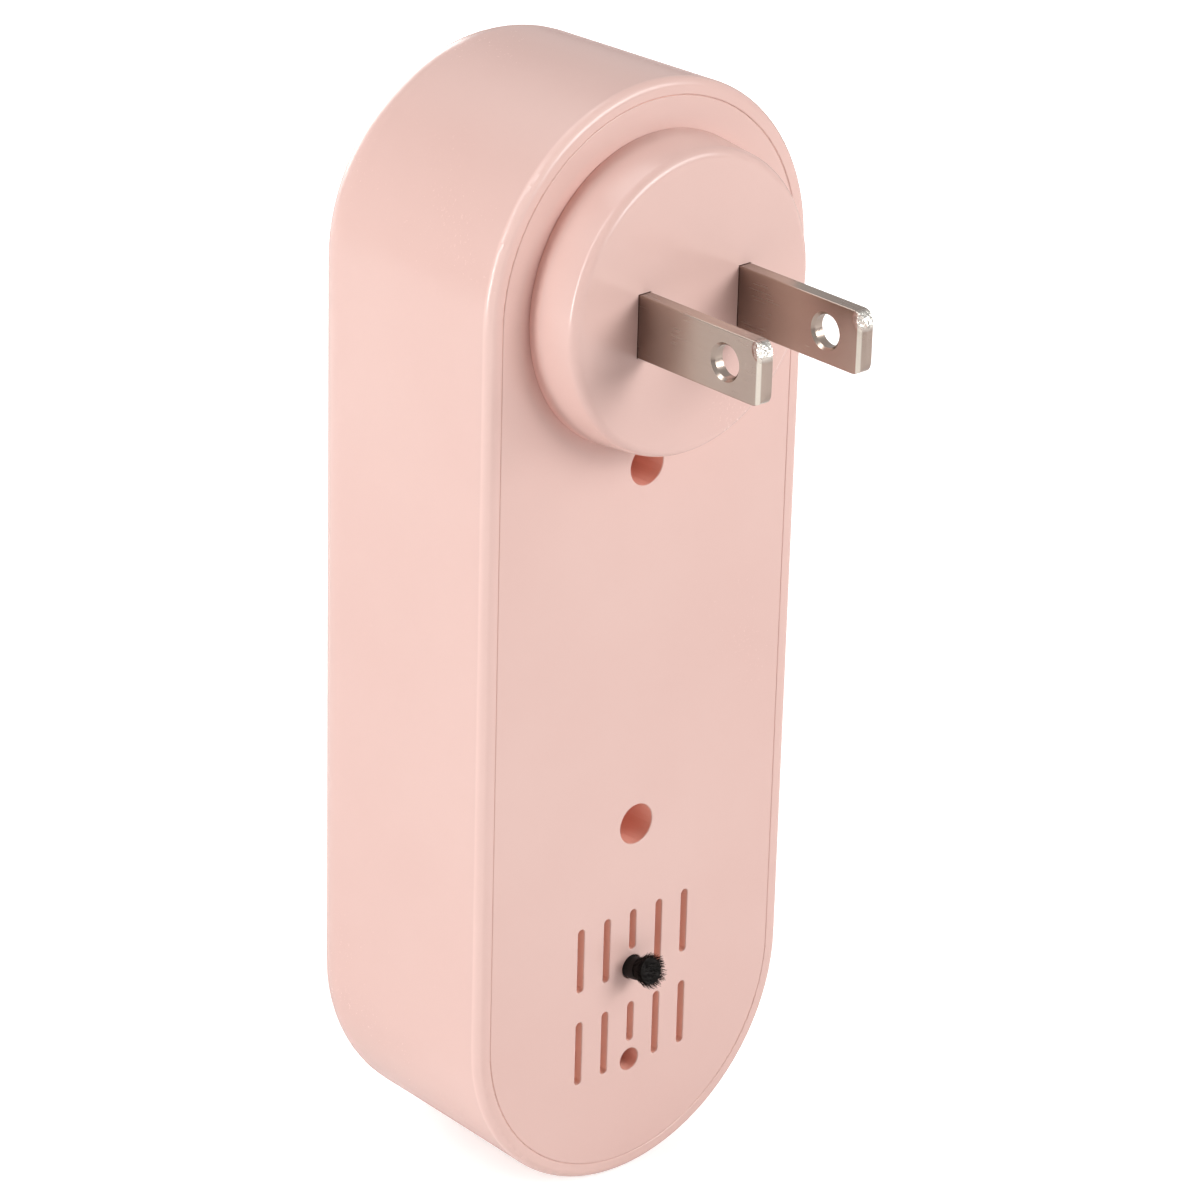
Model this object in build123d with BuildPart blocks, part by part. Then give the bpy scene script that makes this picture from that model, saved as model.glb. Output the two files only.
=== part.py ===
from build123d import *

import os
from math import atan, degrees, pi

# Plug-in ultrasonic pest repeller: a pill-shaped case that hangs on a wall outlet by its flat blades.
# Millimetres. +Z is up and +Y points at the wall. The origin is the centre of the plug boss's rear face,
# and a depth is a distance from that face towards the front of the device, so y = -depth.

# Case: two half circles of the case's width, joined by straight sides
straight_length = 74.5
case_width = 40.5
case_depth = 26.8
side_lean = 0.55  # each side leans in this much from the rear rim to the front
front_radius = 4.8
rear_radius = 0.9
wall = 2.6
front_wall = 2.2
rim = 1.65  # lip of the shell that stands round the cover
seam_gap = 0.1
cover_thickness = 2.0
edge_softening = 0.12
tongue_thickness = 1.0
tongue_height = 1.5

# Plug
boss_height = 5.7
boss_base_radius = 15.5
boss_taper = 0.6
boss_edge_radius = 1.0
boss_seat = 1.7  # width of the boss's ring that sits on the cover
clamp_grip = 1.7  # width of the clamp's ring behind the cover
clamp_thickness = 2.5
clamp_screw_inset = 3.0
blade_spacing = 12.7
blade_drop = 0.5  # the blades sit this much below the boss's centre
blade_length = 16.6
blade_width = 6.2
blade_thickness = 1.5
blade_corner_radius = 1.5
blade_tip_length = 0.9
blade_tip_thickness = 0.75
blade_edge_radius = 0.12
blade_hole_distance = 11.6
blade_hole_radius = 1.6
blade_hole_chamfer = 0.28
shoulder_width = 9.2
shoulder_thickness = 1.5
tail_width = 4.0
tail_length = 5.4
solder_hole_radius = 0.8

# Cover screws, sunk in deep recesses on the centre line
recess_radius = 2.1
recess_depth = 9.0
recess_floor = 1.6
recess_wall = 1.2
recess_to_boss = 0.2
lower_screw_above_arc = 18.6

# Vents and electrode holes, measured from the centre of the case's lower arc
vent_columns = 5
vent_pitch = 3.45
vent_width = 0.85
vent_length = 7.0
short_vent_length = 4.4  # the middle column stops short of the electrode holes
vent_row_tops = (9.15, -1.2)
brush_above_arc = 2.8
spare_hole_above_arc = -7.7
spare_hole_radius = 1.2

# Front
grille_hole_radius = 0.8
grille_ring_pitch = 2.7
grille_rings = 4
holes_per_ring = 6
lens_radius = 1.5
lens_flange_radius = 2.3
lens_flange = 1.1
lens_below_upper_screw = 13.0

# Transducer
transducer_radius = 13.2
transducer_wall = 1.2
transducer_length = 8.0
transducer_cap_thickness = 1.2
transducer_ring_wall = 1.2
transducer_ring_height = 4.0
seal_thickness = 1.0
seal_width = 1.7
mesh_thickness = 0.25
cone_small_radius = 3.0
cone_length = 3.2
cone_thickness = 0.35
cone_setback = 0.5
piezo_plate_radius = 7.0
piezo_ceramic_radius = 5.5
piezo_layer = 0.3
pad_radius = 2.0
pad_thickness = 0.4
terminal_width = 2.0
terminal_thickness = 0.5
terminal_length = 2.2
terminal_place = (4.5, -6.0)

# Circuit board
board_rear_depth = 17.5
board_thickness = 1.6
board_width = 31.0
board_corner_radius = 2.5
board_above_upper_screw = 6.8
board_below_lower_screw = 7.1
board_screw_offset = 12.7
board_post_radius = 2.3
wire_pad_inset = 1.6
supply_pad_inset = 3.0

# Parts on the board: a place is an x and a height above the board's middle
film_place = (-10.0, 6.0)
film_size = (6.0, 13.0)
film_height = 8.4
can_place = (10.4, 6.0)
can_radius = 4.0
can_length = 12.0
coil_place = (0.0, 1.5)
coil_radius = 4.6
coil_winding_radius = 4.0
coil_core_radius = 2.0
coil_flange = 1.1
coil_height = 5.0
bridge_place = (-10.5, -5.5)
bridge_size = (4.6, 6.4)
bridge_height = 2.4
chip_place = (9.6, -6.5)
chip_size = (4.0, 5.2)
chip_height = 1.5
chip_pins_per_side = 4
chip_pin_pitch = 1.27
chip_pin_size = (1.0, 0.45)
chip_pin_thickness = 0.3
transistor_places = ((-4.2, -7.5), (4.2, -7.5))
transistor_radius = 2.3
transistor_flat = 1.2
transistor_height = 5.0
fuse_place = (0.0, -11.6)
fuse_radius = 1.5
fuse_length = 9.0
small_chip_size = (0.85, 1.6)
small_chip_height = 0.5
small_chip_columns = (-13.4, -11.4, 11.0, 13.0)
small_chip_row = -11.6
part_edge_radius = 0.4

# Indicator lamp
led_radius = 1.5
led_length = 5.2
led_flange = 0.8
led_flange_radius = 1.9
led_leg_offset = 0.7
led_leg_width = 0.45

# Ionizer
ionizer_width = 24.0
ionizer_top_above_arc = 8.0
ionizer_bottom_above_arc = -9.0
ionizer_length = 11.5
ionizer_wall = 1.2
resin_below_rim = 0.5
cradle_wall = 1.2
cradle_height = 5.0
high_voltage_offset = 7.0
high_voltage_above_arc = -4.5
high_voltage_rise = 3.3
supply_offset = 4.0
supply_bend_length = 3.9

# Carbon brush, which leans up as it leaves the cover
sleeve_radius = 1.15
sleeve_inside = 6.0
sleeve_straight = 0.5
sleeve_lean = (0.8, 0.22)
brush_length = 2.0
brush_root_radius = 1.0
brush_tip_radius = 1.85

# Screws
small_shank_radius = 0.95
small_head_radius = 1.75
small_head_height = 1.2
board_screw_length = 5.0
clamp_screw_length = 6.5
cover_shank_radius = 1.3
cover_head_radius = 1.95
cover_head_height = 1.6
cover_screw_length = 10.0
cross_width = 0.5
cross_length = 2.2
cross_depth = 0.7

# Wires
mains_wire_radius = 0.7
mains_wire_drop = 1.8
mains_wire_bend = 1.1
mains_pad_offset = 9.4
thin_wire_radius = 0.5
thin_wire_bend = 1.2
transducer_wire_rise = 2.4
sleeve_bend = 1.2

# Clearances
brush_clearance = 0.1
sliding_clearance = 0.1
thread_clearance = 0.03
blade_clearance = 0.05
loose_clearance = 0.3
post_clearance = 0.5

# Places along Z
case_height = straight_length + case_width
lower_arc_z = -straight_length
case_middle_z = lower_arc_z / 2
recess_tube_radius = recess_radius + recess_wall
screw_to_boss_centre = boss_base_radius + recess_radius + recess_to_boss
screw_to_transducer_axis = transducer_radius + loose_clearance + recess_tube_radius
upper_screw_z = -max(screw_to_boss_centre, screw_to_transducer_axis)
lower_screw_z = lower_arc_z + lower_screw_above_arc
board_top_z = upper_screw_z + board_above_upper_screw
board_bottom_z = lower_screw_z - board_below_lower_screw
board_middle_z = (board_top_z + board_bottom_z) / 2
brush_z = lower_arc_z + brush_above_arc
spare_hole_z = lower_arc_z + spare_hole_above_arc
ionizer_top_z = lower_arc_z + ionizer_top_above_arc
ionizer_height = ionizer_top_above_arc - ionizer_bottom_above_arc
ionizer_middle_z = ionizer_top_z - ionizer_height / 2

# Depths, from the wall to the front
cover_depth = boss_height
cover_end = cover_depth + cover_thickness
neck_end = cover_end - sliding_clearance
clamp_end = cover_end + clamp_thickness
shoulder_end = neck_end + shoulder_thickness
tail_end = shoulder_end + tail_length
recess_end = cover_depth + recess_depth
recess_foot = recess_end + recess_floor
board_front_depth = board_rear_depth + board_thickness
front_depth = cover_depth + case_depth
front_inner_depth = front_depth - front_wall
mesh_depth = front_inner_depth - mesh_thickness
seal_depth = mesh_depth - seal_thickness
body_depth = seal_depth - transducer_length
cap_depth = body_depth - transducer_cap_thickness
terminal_end = cap_depth - terminal_length
cone_rim_depth = seal_depth - cone_setback
cone_apex_depth = cone_rim_depth - cone_length
plate_depth = cone_apex_depth - piezo_layer
ceramic_depth = plate_depth - piezo_layer
pad_depth = ceramic_depth - pad_thickness
lens_depth = front_inner_depth - lens_flange
led_depth = lens_depth - loose_clearance - led_length
ionizer_depth = front_inner_depth - ionizer_length
resin_depth = ionizer_depth + resin_below_rim

# Places on planes parallel to the wall, and other fits
centre = [(0, 0)]
cover_screws = [(0, upper_screw_z), (0, lower_screw_z)]
board_screws = [(side * board_screw_offset, z) for side in (-1, 1) for _, z in cover_screws]
boss_face_radius = boss_base_radius - boss_taper
neck_radius = boss_base_radius - boss_seat
plug_opening_radius = neck_radius + sliding_clearance
clamp_radius = plug_opening_radius + clamp_grip
clamp_screws = [(0, side * (neck_radius - clamp_screw_inset)) for side in (-1, 1)]
blade_places = [(side * blade_spacing / 2, -blade_drop) for side in (-1, 1)]
lens_place = [(0, upper_screw_z - lens_below_upper_screw)]
ionizer_place = [(0, ionizer_middle_z)]
brush_hole_radius = sleeve_radius + brush_clearance
cone_rim_radius = transducer_radius - transducer_wall - loose_clearance
lean_angle = degrees(atan(side_lean / case_depth))
pad_z = board_top_z - wire_pad_inset
supply_z = board_bottom_z + supply_pad_inset


def at(depth):
    """Plane parallel to the wall: local x is +X, local y is +Z, and extrusions go to the front."""
    return Plane(origin=(0, -depth, 0), x_dir=(1, 0, 0), z_dir=(0, -1, 0))


def save(part, name):
    part.label = name
    export_step(part, f"parts/{name}.step")


def pill(inset, mode=Mode.ADD):
    """Outline of the case at its rear rim, drawn in by an inset."""
    with Locations((0, case_middle_z)):
        SlotOverall(case_height - 2 * inset, case_width - 2 * inset, rotation=90, mode=mode)


def discs(start, end, radius, places, mode=Mode.ADD):
    """Round posts or holes between two depths."""
    with BuildSketch(at(start)) as outlines:
        with Locations(*places):
            Circle(radius)
    extrude(outlines.sketch, amount=end - start, mode=mode)


def blocks(start, end, size, places, mode=Mode.ADD):
    """Rectangular blocks or pockets between two depths."""
    with BuildSketch(at(start)) as outlines:
        with Locations(*places):
            Rectangle(*size)
    extrude(outlines.sketch, amount=end - start, mode=mode)


def widened(size, clearance):
    return tuple(side + 2 * clearance for side in size)


def on_board(places):
    """Places given above the board's middle, as places on the plane of the wall."""
    return [(x, board_middle_z + height) for x, height in places]


def mirrored(x, z):
    """The same place on both sides of the centre line."""
    return [(-x, z), (x, z)]


def front_end(part):
    return part.edges().group_by(Axis.Y)[0]


def rear_end(part):
    return part.edges().group_by(Axis.Y)[-1]


def make_front_shell():
    """Deep tray with the front wall, the rim round the cover, posts and places for the inner parts."""
    with BuildPart() as cavity:
        with BuildSketch(at(cover_depth)):
            pill(wall)
        extrude(amount=front_inner_depth - cover_depth, taper=lean_angle)
        fillet(front_end(cavity), front_radius - front_wall)
    with BuildPart() as shell:
        with BuildSketch(at(cover_depth)):
            pill(0)
        extrude(amount=case_depth, taper=lean_angle)
        fillet(front_end(shell), front_radius)
        fillet(rear_end(shell), rear_radius)
        add(cavity.part, mode=Mode.SUBTRACT)
        with BuildSketch(at(cover_depth)):
            pill(rim)
        extrude(amount=cover_thickness, mode=Mode.SUBTRACT)
        inner_lip = rear_end(shell).filter_by(GeomType.CIRCLE).sort_by(SortBy.RADIUS)[0]
        fillet(inner_lip, edge_softening)
        add_posts()
        add_transducer_ring()
        add_ionizer_cradle()
        cut_grille()
        discs(front_inner_depth, front_depth, lens_radius + blade_clearance, lens_place, Mode.SUBTRACT)
        front_circles = front_end(shell).filter_by(GeomType.CIRCLE)
        fillet(front_circles.filter_by(lambda edge: edge.radius < 2 * lens_radius), edge_softening)
    save(shell.part, "front_shell")


def add_posts():
    """Posts on the front wall for the cover screws and the board screws."""
    post_foot = front_inner_depth + front_wall / 2
    cover_post = recess_foot + sliding_clearance
    cover_screw_end = recess_end + cover_screw_length + loose_clearance
    discs(cover_post, post_foot, recess_tube_radius, cover_screws)
    discs(cover_post, cover_screw_end, cover_shank_radius + thread_clearance, cover_screws, Mode.SUBTRACT)
    board_screw_end = board_rear_depth + board_screw_length + loose_clearance
    board_pilot_radius = small_shank_radius + thread_clearance
    discs(board_front_depth, post_foot, board_post_radius, board_screws)
    discs(board_front_depth, board_screw_end, board_pilot_radius, board_screws, Mode.SUBTRACT)


def add_transducer_ring():
    """Ring on the front wall that centres the transducer behind the grille."""
    inner = transducer_radius + loose_clearance
    with BuildSketch(at(front_inner_depth - transducer_ring_height)) as ring:
        Circle(inner + transducer_ring_wall)
        Circle(inner, mode=Mode.SUBTRACT)
    extrude(ring.sketch, amount=transducer_ring_height + front_wall / 2)


def add_ionizer_cradle():
    """Fence on the front wall round the ionizer's case."""
    inner = widened((ionizer_width, ionizer_height), sliding_clearance)
    with BuildSketch(at(front_inner_depth - cradle_height)) as fence:
        with Locations(*ionizer_place):
            Rectangle(*widened(inner, cradle_wall))
            Rectangle(*inner, mode=Mode.SUBTRACT)
    extrude(fence.sketch, amount=cradle_height + front_wall / 2)


def cut_grille():
    """Rings of round holes in the front wall, over the transducer."""
    with BuildSketch(at(front_inner_depth)) as holes:
        Circle(grille_hole_radius)
        for ring in range(1, grille_rings + 1):
            with PolarLocations(ring * grille_ring_pitch, ring * holes_per_ring):
                Circle(grille_hole_radius)
    extrude(holes.sketch, amount=front_wall, mode=Mode.SUBTRACT)


def make_rear_cover():
    """Flat cover inside the rim, with the plug's opening, vents, electrode holes and screw recesses."""
    with BuildPart() as cover:
        with BuildSketch(at(cover_depth)):
            pill(rim + seam_gap)
        extrude(amount=cover_thickness)
        with BuildSketch(at(cover_end)):
            pill(wall + seam_gap)
            pill(wall + seam_gap + tongue_thickness, Mode.SUBTRACT)
        extrude(amount=tongue_height)
        discs(cover_end, recess_foot, recess_tube_radius, cover_screws)
        discs(cover_depth, recess_end, recess_radius, cover_screws, Mode.SUBTRACT)
        discs(recess_end, recess_foot, cover_shank_radius + sliding_clearance, cover_screws, Mode.SUBTRACT)
        cut_vents()
        discs(cover_depth, cover_end, brush_hole_radius, [(0, brush_z)], Mode.SUBTRACT)
        discs(cover_depth, cover_end, spare_hole_radius, [(0, spare_hole_z)], Mode.SUBTRACT)
        fillet(rear_end(cover), edge_softening)
        discs(cover_depth, cover_end, plug_opening_radius, centre, Mode.SUBTRACT)
    save(cover.part, "rear_cover")


def cut_vents():
    """Two rows of upright slots, with the middle column shorter."""
    middle = vent_columns // 2
    with BuildSketch(at(cover_depth)) as slots:
        for row_top in vent_row_tops:
            for column in range(vent_columns):
                length = short_vent_length if column == middle else vent_length
                with Locations(((column - middle) * vent_pitch, lower_arc_z + row_top - length / 2)):
                    SlotOverall(length, vent_width, rotation=90)
    extrude(slots.sketch, amount=cover_thickness, mode=Mode.SUBTRACT)


def make_plug_carrier():
    """Round boss that sits on the cover, with a neck through the cover and a slot for each blade."""
    profile = [(0, 0), (boss_face_radius, 0), (boss_base_radius, -cover_depth), (neck_radius, -cover_depth),
               (neck_radius, -neck_end), (0, -neck_end)]
    with BuildPart() as carrier:
        with BuildSketch(Plane.XY):
            Polygon(*profile, align=None)
        revolve(axis=Axis.Y)
        fillet(rear_end(carrier), boss_edge_radius)
        base = carrier.edges().filter_by(GeomType.CIRCLE).sort_by(SortBy.RADIUS)[-1]
        fillet(base, edge_softening)
        slot = widened((blade_thickness, blade_width), blade_clearance)
        blocks(0, neck_end, slot, blade_places, Mode.SUBTRACT)
        pilot_end = neck_end - (clamp_screw_length - clamp_thickness + loose_clearance)
        discs(neck_end, pilot_end, small_shank_radius + thread_clearance, clamp_screws, Mode.SUBTRACT)
    save(carrier.part, "plug_carrier")


def make_plug_clamp():
    """Plate behind the cover that grips it against the boss and holds the blades' shoulders."""
    with BuildPart() as clamp:
        with BuildSketch(at(cover_end)):
            Circle(clamp_radius)
            with Locations((0, upper_screw_z)):
                Circle(recess_tube_radius + loose_clearance, mode=Mode.SUBTRACT)
            with Locations(*clamp_screws):
                Circle(small_shank_radius + sliding_clearance, mode=Mode.SUBTRACT)
        extrude(amount=clamp_thickness)
        pocket = widened((blade_thickness, shoulder_width), sliding_clearance)
        blocks(cover_end, shoulder_end + sliding_clearance, pocket, blade_places, Mode.SUBTRACT)
        slot = widened((blade_thickness, tail_width), sliding_clearance)
        blocks(cover_end, clamp_end, slot, blade_places, Mode.SUBTRACT)
    save(clamp.part, "plug_clamp")


def make_blade(name, side):
    """Flat blade with a bevelled tip and a hole, a shoulder inside the plug and a soldered tail."""
    low_x = side * blade_spacing / 2 - blade_thickness / 2
    high_x = low_x + blade_thickness
    middle_z = -blade_drop
    tip_inset = (blade_thickness - blade_tip_thickness) / 2
    tip_start = blade_length - blade_tip_length
    side_profile = [(low_x, -tail_end), (low_x, tip_start), (low_x + tip_inset, blade_length),
                    (high_x - tip_inset, blade_length), (high_x, tip_start), (high_x, -tail_end)]
    with BuildPart() as blade:
        with BuildSketch(Plane.YZ.offset(low_x)) as outline:
            with Locations(((blade_length - neck_end) / 2, middle_z)):
                Rectangle(blade_length + neck_end, blade_width)
            fillet(outline.vertices().group_by(Axis.X)[-1], blade_corner_radius)
            with Locations((-(neck_end + shoulder_end) / 2, middle_z)):
                Rectangle(shoulder_thickness, shoulder_width)
            with Locations((-(shoulder_end + tail_end) / 2, middle_z)):
                Rectangle(tail_length, tail_width)
            with Locations((-tail_end + tail_width / 2, middle_z)):
                Circle(solder_hole_radius, mode=Mode.SUBTRACT)
        extrude(amount=blade_thickness)
        long_edges = blade.edges().filter_by(Axis.Y).filter_by(lambda edge: edge.center().Y > 0)
        fillet(long_edges, blade_edge_radius)
        with BuildSketch(Plane.XY.offset(middle_z - shoulder_width / 2)):
            Polygon(*side_profile, align=None)
        extrude(amount=shoulder_width, mode=Mode.INTERSECT)
        with BuildSketch(Plane.YZ.offset(low_x)):
            with Locations((blade_hole_distance, middle_z)):
                Circle(blade_hole_radius)
        extrude(amount=blade_thickness, mode=Mode.SUBTRACT)
        circles = blade.edges().filter_by(GeomType.CIRCLE)
        rims = circles.filter_by(lambda edge: abs(edge.radius - blade_hole_radius) < blade_clearance)
        chamfer(rims, blade_hole_chamfer)
    save(blade.part, name)


def make_screws(name, seat, direction, length, radii, head_height, places):
    """Pan-head screws: the head's underside is at the seat, and the shank runs along the direction."""
    shank_radius, head_radius = radii
    head_top = seat - direction * head_height
    cross_floor = head_top + direction * cross_depth
    with BuildPart() as screws:
        discs(seat, seat + direction * length, shank_radius, places)
        discs(seat, head_top, head_radius, places)
        blocks(head_top, cross_floor, (cross_width, cross_length), places, Mode.SUBTRACT)
        blocks(head_top, cross_floor, (cross_length, cross_width), places, Mode.SUBTRACT)
    save(screws.part, name)


def make_fasteners():
    small_radii = (small_shank_radius, small_head_radius)
    make_screws("cover_screws", recess_end, 1, cover_screw_length, (cover_shank_radius, cover_head_radius),
                cover_head_height, cover_screws)
    make_screws("board_screws", board_rear_depth, 1, board_screw_length, small_radii, small_head_height,
                board_screws)
    make_screws("plug_clamp_screws", clamp_end, -1, clamp_screw_length, small_radii, small_head_height,
                clamp_screws)


def make_discs(name, start, end, radius, hole_radius=0):
    """Round part on the transducer's axis, with or without a hole."""
    with BuildPart() as disc:
        discs(start, end, radius, centre)
        if hole_radius:
            discs(start, end, hole_radius, centre, Mode.SUBTRACT)
    save(disc.part, name)


def make_transducer():
    """Piezo transducer behind the grille, from the dust mesh in front to the terminals at the rear."""
    make_discs("grille_mesh", mesh_depth, front_inner_depth, transducer_radius)
    make_discs("transducer_seal", seal_depth, mesh_depth, transducer_radius, transducer_radius - seal_width)
    body_bore_radius = transducer_radius - transducer_wall
    make_discs("transducer_body", body_depth, seal_depth, transducer_radius, body_bore_radius)
    make_discs("piezo_plate", plate_depth, cone_apex_depth, piezo_plate_radius)
    make_discs("piezo_ceramic", ceramic_depth, plate_depth, piezo_ceramic_radius)
    make_discs("piezo_pad", pad_depth, ceramic_depth, pad_radius)
    cone_inside_depth = cone_apex_depth + cone_thickness
    profile = [(0, -cone_apex_depth), (cone_small_radius, -cone_apex_depth),
               (cone_rim_radius, -cone_rim_depth + cone_thickness), (cone_rim_radius, -cone_rim_depth),
               (cone_small_radius, -cone_inside_depth), (0, -cone_inside_depth)]
    with BuildPart() as cone:
        with BuildSketch(Plane.XY):
            Polygon(*profile, align=None)
        revolve(axis=Axis.Y)
    save(cone.part, "transducer_cone")
    with BuildPart() as cap:
        discs(cap_depth, body_depth, transducer_radius, centre)
        discs(body_depth, pad_depth, pad_radius, centre)
    save(cap.part, "transducer_cap")
    with BuildPart() as terminals:
        blocks(terminal_end, cap_depth, (terminal_width, terminal_thickness), mirrored(*terminal_place))
    save(terminals.part, "transducer_terminals")


def make_circuit_board():
    """Board on the four short posts, cleared round the two cover posts."""
    with BuildPart() as board:
        with BuildSketch(at(board_rear_depth)):
            with Locations((0, board_middle_z)):
                RectangleRounded(board_width, board_top_z - board_bottom_z, board_corner_radius)
            with Locations(*cover_screws):
                Circle(recess_tube_radius + post_clearance, mode=Mode.SUBTRACT)
            with Locations(*board_screws):
                Circle(small_shank_radius + sliding_clearance, mode=Mode.SUBTRACT)
        extrude(amount=board_thickness)
    save(board.part, "main_board")


def make_box_part(name, size, height, places):
    """Box-shaped part, or several alike, on the board's rear face."""
    with BuildPart() as box:
        blocks(board_rear_depth, board_rear_depth - height, size, on_board(places))
    save(box.part, name)


def make_lying_part(name, axis_plane, place, radius, length):
    """Round part that lies on the board: along Z on the XY plane, or along X on the YZ plane."""
    x, z = on_board([place])[0]
    y = radius + thread_clearance - board_rear_depth
    along_z = axis_plane == Plane.XY
    start, sketch_place = (z, (x, y)) if along_z else (x, (y, z))
    with BuildPart() as part:
        with BuildSketch(axis_plane.offset(start - length / 2)):
            with Locations(sketch_place):
                Circle(radius)
        extrude(amount=length)
        fillet(part.edges().filter_by(GeomType.CIRCLE), part_edge_radius)
    save(part.part, name)


def make_coil():
    """Step-up coil: a ferrite bobbin and the copper wound on it."""
    place = on_board([coil_place])
    winding_start = board_rear_depth - coil_flange
    winding_end = winding_start - coil_height
    with BuildPart() as core:
        discs(board_rear_depth, winding_start, coil_radius, place)
        discs(winding_start, winding_end, coil_core_radius, place)
        discs(winding_end, winding_end - coil_flange, coil_radius, place)
    save(core.part, "coil_core")
    with BuildPart() as winding:
        discs(winding_start, winding_end, coil_winding_radius, place)
        discs(winding_start, winding_end, coil_core_radius, place, Mode.SUBTRACT)
    save(winding.part, "coil_winding")


def make_transistors():
    with BuildPart() as transistors:
        with BuildSketch(at(board_rear_depth)):
            with Locations(*on_board(transistor_places)):
                Circle(transistor_radius)
            with Locations(*[(x, z - transistor_radius) for x, z in on_board(transistor_places)]):
                Rectangle(2 * transistor_radius, 2 * transistor_flat, mode=Mode.SUBTRACT)
        extrude(amount=-transistor_height)
    save(transistors.part, "driver_transistors")


def make_board_parts():
    """Parts that stand on the board's rear face, towards the cover."""
    make_box_part("film_capacitor", film_size, film_height, [film_place])
    make_box_part("bridge_rectifier", bridge_size, bridge_height, [bridge_place])
    make_box_part("controller_chip", chip_size, chip_height, [chip_place])
    pin_offset = (chip_size[0] + chip_pin_size[0]) / 2
    pin_rows = [(i - (chip_pins_per_side - 1) / 2) * chip_pin_pitch for i in range(chip_pins_per_side)]
    x, height = chip_place
    pins = [(x + side * pin_offset, height + row) for side in (-1, 1) for row in pin_rows]
    make_box_part("chip_pins", chip_pin_size, chip_pin_thickness, pins)
    small_chips = [(x, small_chip_row) for x in small_chip_columns]
    make_box_part("chip_resistors", small_chip_size, small_chip_height, small_chips)
    make_lying_part("electrolytic_capacitor", Plane.XY, can_place, can_radius, can_length)
    make_lying_part("fusible_resistor", Plane.YZ, fuse_place, fuse_radius, fuse_length)
    make_coil()
    make_transistors()


def make_indicator():
    """Indicator lamp on the board's front face and the clear lens it shines through."""
    with BuildPart() as lamp:
        discs(led_depth, led_depth + led_length, led_radius, lens_place)
        fillet(front_end(lamp), led_radius - loose_clearance)
        discs(led_depth, led_depth + led_flange, led_flange_radius, lens_place)
        legs = mirrored(led_leg_offset, lens_place[0][1])
        blocks(board_front_depth, led_depth, (led_leg_width, led_leg_width), legs)
    save(lamp.part, "indicator_lamp")
    with BuildPart() as lens:
        discs(lens_depth, front_inner_depth, lens_flange_radius, lens_place)
        discs(front_inner_depth, front_depth, lens_radius, lens_place)
        fillet(front_end(lens), edge_softening)
    save(lens.part, "indicator_lens")


def make_ionizer():
    """High-voltage module in the lower end: an open case filled with resin."""
    inner = widened((ionizer_width, ionizer_height), -ionizer_wall)
    floor = front_inner_depth - ionizer_wall
    with BuildPart() as case:
        blocks(ionizer_depth, front_inner_depth, (ionizer_width, ionizer_height), ionizer_place)
        fillet(case.edges().filter_by(Axis.Y), part_edge_radius)
        blocks(ionizer_depth, floor, inner, ionizer_place, Mode.SUBTRACT)
    save(case.part, "ionizer_case")
    with BuildPart() as resin:
        blocks(resin_depth, floor, inner, ionizer_place)
    save(resin.part, "ionizer_resin")


def make_brush():
    """Carbon-fibre brush in a sleeve that leaves the cover and leans up."""
    bend = Vector(0, -cover_depth + sleeve_straight, brush_z)
    start = Vector(0, -cover_end - sleeve_inside, brush_z)
    tip = bend + Vector(0, *sleeve_lean)
    with BuildPart() as sleeve:
        with BuildLine() as path:
            FilletPolyline(start, bend, tip, radius=sleeve_bend)
        with BuildSketch(Plane(origin=start, z_dir=(0, 1, 0))):
            Circle(sleeve_radius)
        sweep(path=path.line)
    save(sleeve.part, "brush_sleeve")
    tip_plane = Plane(origin=tip, z_dir=tip - bend)
    with BuildPart() as brush:
        with BuildSketch(tip_plane):
            Circle(brush_root_radius)
        with BuildSketch(tip_plane.offset(brush_length)):
            Circle(brush_tip_radius)
        loft()
    save(brush.part, "carbon_brush")


def make_wires(name, routes, bend_radius, wire_radius):
    """Insulated wires along straight runs joined by tangent arcs; prints volume / (length x section)."""
    length = 0
    with BuildPart() as wires:
        for route in routes:
            with BuildLine() as path:
                FilletPolyline(*[Vector(x, -depth, z) for x, depth, z in route], radius=bend_radius)
            with BuildSketch(Plane(origin=path.line @ 0, z_dir=path.line % 0)):
                Circle(wire_radius)
            sweep(path=path.line)
            length += path.wires()[0].length
    print(name, round(wires.part.volume / (length * pi * wire_radius**2), 4))
    save(wires.part, name)


def make_wiring():
    for name, side in (("mains_lead_live", 1), ("mains_lead_neutral", -1)):
        tail_x = side * blade_spacing / 2
        pad_x = side * mains_pad_offset
        run_depth = tail_end + mains_wire_drop
        route = [(tail_x, tail_end, -blade_drop), (tail_x, run_depth, -blade_drop),
                 (pad_x, run_depth, pad_z), (pad_x, board_rear_depth, pad_z)]
        make_wires(name, [route], mains_wire_bend, mains_wire_radius)
    run_depth = terminal_end - transducer_wire_rise
    routes = [[(x, terminal_end, z), (x, run_depth, z), (x, run_depth, pad_z), (x, board_rear_depth, pad_z)]
              for x, z in mirrored(*terminal_place)]
    make_wires("transducer_leads", routes, thin_wire_bend, thin_wire_radius)
    run_depth = board_front_depth + supply_bend_length
    routes = [[(x, board_front_depth, z), (x, run_depth, z), (x, run_depth, ionizer_top_z)]
              for x, z in mirrored(supply_offset, supply_z)]
    make_wires("ionizer_supply_leads", routes, thin_wire_bend, thin_wire_radius)
    lead_z = lower_arc_z + high_voltage_above_arc
    run_depth = resin_depth - high_voltage_rise
    route = [(high_voltage_offset, resin_depth, lead_z), (high_voltage_offset, run_depth, lead_z),
             (0, run_depth, brush_z), (0, cover_end + sleeve_inside, brush_z)]
    make_wires("ionizer_output_lead", [route], thin_wire_bend, thin_wire_radius)


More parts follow.
